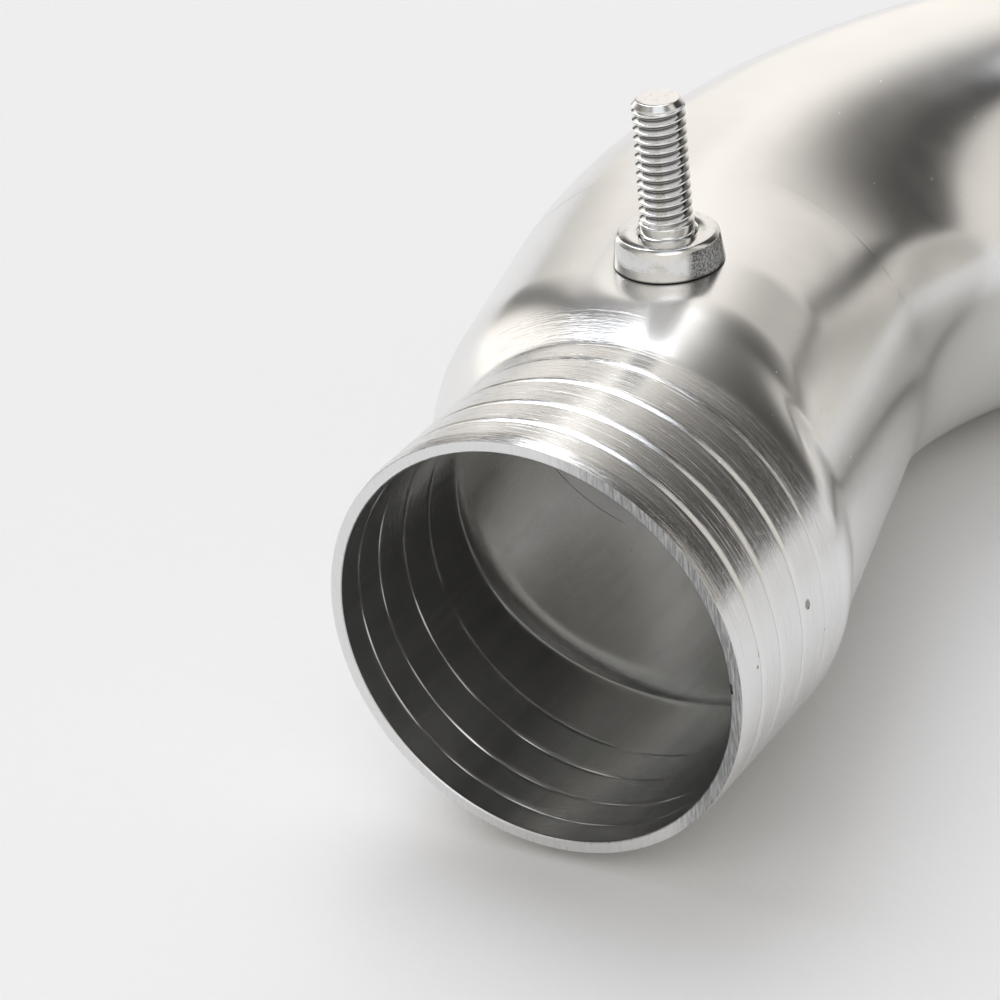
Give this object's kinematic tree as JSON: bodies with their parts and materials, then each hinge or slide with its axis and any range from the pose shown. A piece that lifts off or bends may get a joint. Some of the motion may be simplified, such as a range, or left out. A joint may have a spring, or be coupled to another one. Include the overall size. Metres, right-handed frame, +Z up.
{
  "type": "cold air intake pipe",
  "caption": "Polished metal intake pipe with a ringed hose neck, an offset shoulder, a welded bend to one side and a threaded mounting stud on a collar.",
  "frame": {"origin": "centre of the inlet mouth, on the neck's axis", "axes": "+Y into the pipe along the neck, +X towards the side the pipe bends to, +Z up along the mounting stud"},
  "size_m": [0.1552, 0.2369, 0.0951],
  "materials": {
    "inlet_tube": "polished body, brushed neck",
    "outlet_tube": "polished",
    "boss": "turned bright",
    "stud": "bright plated"
  },
  "bodies": {
    "root": {"inlet_section": "inlet_tube", "outlet_section": "outlet_tube", "stud_boss": "boss", "mounting_stud": "stud"}
  },
  "joints": []
}
